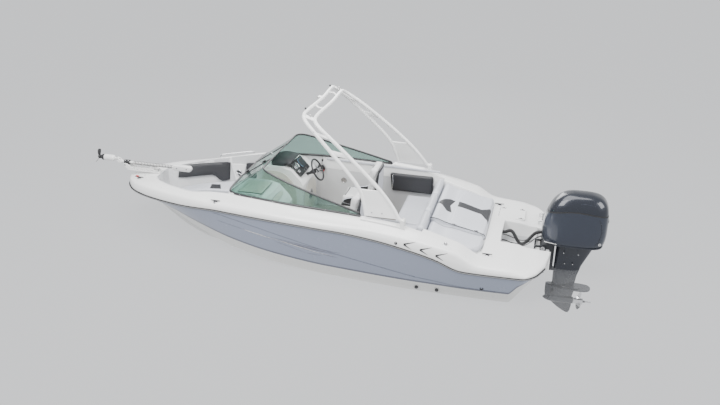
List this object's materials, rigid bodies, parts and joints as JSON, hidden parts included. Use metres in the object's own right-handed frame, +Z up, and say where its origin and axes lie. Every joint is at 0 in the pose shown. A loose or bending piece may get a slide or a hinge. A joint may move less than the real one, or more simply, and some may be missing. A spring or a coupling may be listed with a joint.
{
  "type": "outboard bowrider runabout",
  "caption": "Open bow motorboat with wraparound windshield, folding arch, stern sun pad, tilting outboard and stowed electric bow motor.",
  "frame": {"origin": "on the centreline at the waterline, 2.85 m forward of the transom's foot", "axes": "+X to the bow, +Y to port, +Z up"},
  "size_m": [7.785, 2.6306, 2.9323],
  "materials": {
    "hull": "gelcoat",
    "deck": "gelcoat",
    "trim": "satin",
    "liner": "gelcoat",
    "dash": "soft grain",
    "console": "gelcoat",
    "frame_black": "powder coat",
    "glass": "tinted",
    "vinyl_light": "marine vinyl",
    "vinyl_dark": "marine vinyl",
    "stainless": "polished",
    "arch_white": "powder coat",
    "bracket_black": "powder coat",
    "engine_paint": "metallic",
    "engine_cast": "cast",
    "steel": "brushed",
    "hose": "corrugated",
    "white_plastic": "moulded",
    "black_plastic": "moulded"
  },
  "bodies": {
    "boat": {"hull": "hull", "deck": "deck", "rub_rail": "trim", "cockpit_liner": "liner", "bow_liner": "liner", "helm_console": "console", "port_console": "console", "dash_panel": "dash", "throttle": "black_plastic", "windshield_frame": "frame_black", "port_glass": "glass", "starboard_glass": "glass", "bow_cushions": "vinyl_light", "bow_backrests": "vinyl_dark", "side_pads": "vinyl_dark", "aft_bench_cushion": "vinyl_light", "aft_backrest": "vinyl_light", "sunpad": "vinyl_light", "walkway_cushion": "vinyl_light", "swim_ladder": "stainless", "cleats": "black_plastic", "bow_grab_rail": "stainless", "seat_pedestals": "stainless", "arch_feet": "arch_white", "clamp_bracket": "bracket_black", "rigging_hose": "hose", "bow_motor_mount": "white_plastic"},
    "centre_window": {"centre_window": "glass"},
    "stern_hatch": {"stern_hatch_lid": "deck"},
    "helm_chair": {"helm_seat": "black_plastic", "helm_seat_cushion": "vinyl_light"},
    "port_chair": {"port_seat": "black_plastic", "port_seat_cushion": "vinyl_light"},
    "wheel": {"steering_wheel": "black_plastic"},
    "arch": {"arch_frame": "arch_white", "port_arch_panel": "arch_white", "starboard_arch_panel": "arch_white"},
    "engine_swivel": {"swivel_bracket": "bracket_black"},
    "trim_cylinder": {"tilt_cylinder": "bracket_black"},
    "trim_rod": {"tilt_rod": "steel"},
    "engine": {"engine_block": "engine_cast", "cowl": "engine_paint", "outboard_leg": "engine_paint", "lower_unit": "engine_paint"},
    "screw": {"propeller": "stainless"},
    "bow_motor_cradle": {"bow_motor_cradle": "black_plastic"},
    "bow_motor_shaft": {"bow_motor_shaft": "white_plastic"},
    "bow_motor_pod": {"bow_motor_pod": "white_plastic"},
    "bow_motor_screw": {"bow_motor_propeller": "black_plastic"}
  },
  "joints": [
    {"name": "outboard_tilt", "type": "hinge", "parent": "boat", "child": "engine_swivel", "pos_m": [-3.225, 0, 0.33], "axis": [0, 1, 0], "range_deg": [0, 65], "deforming": ["rigging_hose"]},
    {"name": "outboard_steer", "type": "hinge", "parent": "engine_swivel", "child": "engine", "pos_m": [-3.345, 0, 0], "axis": [0, 0, 1], "range_deg": [-30, 30]},
    {"name": "propeller_spin", "type": "hinge", "parent": "engine", "child": "screw", "pos_m": [-3.8, 0, -0.5], "axis": [1, 0, 0], "continuous": true},
    {"name": "steering_wheel_turn", "type": "hinge", "parent": "boat", "child": "wheel", "pos_m": [0.3, -0.6, 0.85], "axis": [-0.8829, 0, 0.4695], "range_deg": [-540, 540]},
    {"name": "trim_cylinder_swing", "type": "hinge", "parent": "boat", "child": "trim_cylinder", "pos_m": [-3.235, 0, -0.02], "axis": [0, 1, 0], "range_deg": [0, 3]},
    {"name": "trim_rod_slide", "type": "slide", "parent": "trim_cylinder", "child": "trim_rod", "axis": [-0.1392, 0, 0.9903], "range_m": [0, 0.115]},
    {"name": "arch_fold", "type": "hinge", "parent": "boat", "child": "arch", "pos_m": [-1.385, 0, 0.925], "axis": [0, -1, 0], "range_deg": [0, 100]},
    {"name": "centre_window_swing", "type": "hinge", "parent": "boat", "child": "centre_window", "pos_m": [1.20482, 0.3, 1.00636], "axis": [-0.8216, 0, 0.5701], "range_deg": [0, 150]},
    {"name": "stern_hatch_open", "type": "hinge", "parent": "boat", "child": "stern_hatch", "pos_m": [-2.536, -0.625, 0.4823], "axis": [0, 1, 0], "range_deg": [0, 95]},
    {"name": "helm_seat_swivel", "type": "hinge", "parent": "boat", "child": "helm_chair", "pos_m": [-0.4, -0.56, 0.4], "axis": [0, 0, 1], "range_deg": [-180, 180]},
    {"name": "port_seat_swivel", "type": "hinge", "parent": "boat", "child": "port_chair", "pos_m": [-0.4, 0.56, 0.4], "axis": [0, 0, 1], "range_deg": [-180, 180]},
    {"name": "bow_motor_deploy", "type": "hinge", "parent": "boat", "child": "bow_motor_cradle", "pos_m": [3.235, 0, 0.85], "axis": [0, 1, 0], "range_deg": [0, 90]},
    {"name": "bow_motor_depth", "type": "slide", "parent": "bow_motor_cradle", "child": "bow_motor_shaft", "axis": [1, 0, 0], "range_m": [0, 0.7]},
    {"name": "bow_motor_pod_fold", "type": "hinge", "parent": "bow_motor_shaft", "child": "bow_motor_pod", "pos_m": [3.38, 0, 0.918], "axis": [0, 1, 0], "range_deg": [-90, 0]},
    {"name": "bow_motor_spin", "type": "hinge", "parent": "bow_motor_pod", "child": "bow_motor_screw", "pos_m": [3.7, 0, 0.918], "axis": [1, 0, 0], "continuous": true}
  ],
  "couplings": [
    {"joint": "trim_cylinder_swing", "follows": "outboard_tilt", "ratio": 0.04},
    {"joint": "trim_rod_slide", "follows": "outboard_tilt", "m_per_rad": 0.09784},
    {"joint": "steering_wheel_turn", "follows": "outboard_steer", "ratio": 18},
    {"joint": "bow_motor_pod_fold", "follows": "bow_motor_deploy", "ratio": -1}
  ]
}
